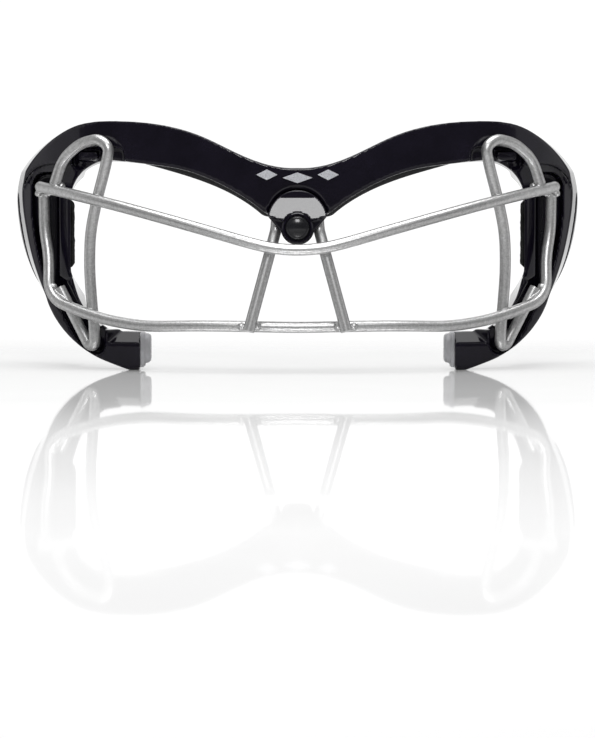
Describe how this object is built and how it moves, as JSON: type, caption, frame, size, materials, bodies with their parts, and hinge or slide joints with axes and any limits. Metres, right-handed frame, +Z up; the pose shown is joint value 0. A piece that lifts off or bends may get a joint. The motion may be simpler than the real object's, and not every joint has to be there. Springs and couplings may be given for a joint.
{
  "type": "sports protective goggles",
  "caption": "Face-wrapping sports goggles: a moulded brow-and-side frame with pads, and a welded wire eye cage on a swivel fastener at the bridge.",
  "frame": {"origin": "on the ground under the middle of the bounding box, at the height of the two feet", "axes": "+X to the right of someone who looks at the front, +Z up, the front with its wire cage faces -Y"},
  "size_m": [0.172, 0.0689, 0.0713],
  "materials": {
    "frame": "high gloss, near black",
    "backing": "matt black",
    "foam": "rough black closed-cell foam",
    "emblem": "silver print",
    "cheek_pad": "light grey silicone",
    "bush": "smooth",
    "wire": "silver powder coat with fine sparkle",
    "tab": "silver powder coat",
    "button": "domed, glossy black",
    "fastener": "satin black"
  },
  "bodies": {
    "frame": {"face_frame": "frame", "brow_backing": "backing", "brow_pad": "foam", "brow_emblem": "emblem", "side_pad_left": "foam", "side_pad_right": "foam", "cheek_pad_left": "cheek_pad", "cheek_pad_right": "cheek_pad", "pivot_bush": "bush"},
    "cage": {"upper_bar": "wire", "lower_bar": "wire", "nose_upright_left": "wire", "nose_upright_right": "wire", "side_loop_left": "wire", "side_loop_right": "wire", "weld_beads": "wire", "bridge_tab": "tab", "bridge_hub": "frame", "hub_collar": "frame", "pivot_button": "button", "pivot_washer": "fastener", "retaining_cap": "fastener"}
  },
  "joints": [
    {"name": "cage_swivel", "type": "hinge", "parent": "frame", "child": "cage", "pos_m": [0, -0.0217, 0.0405], "axis": [0, 1, 0], "range_deg": [-0.5, 0.5]}
  ]
}
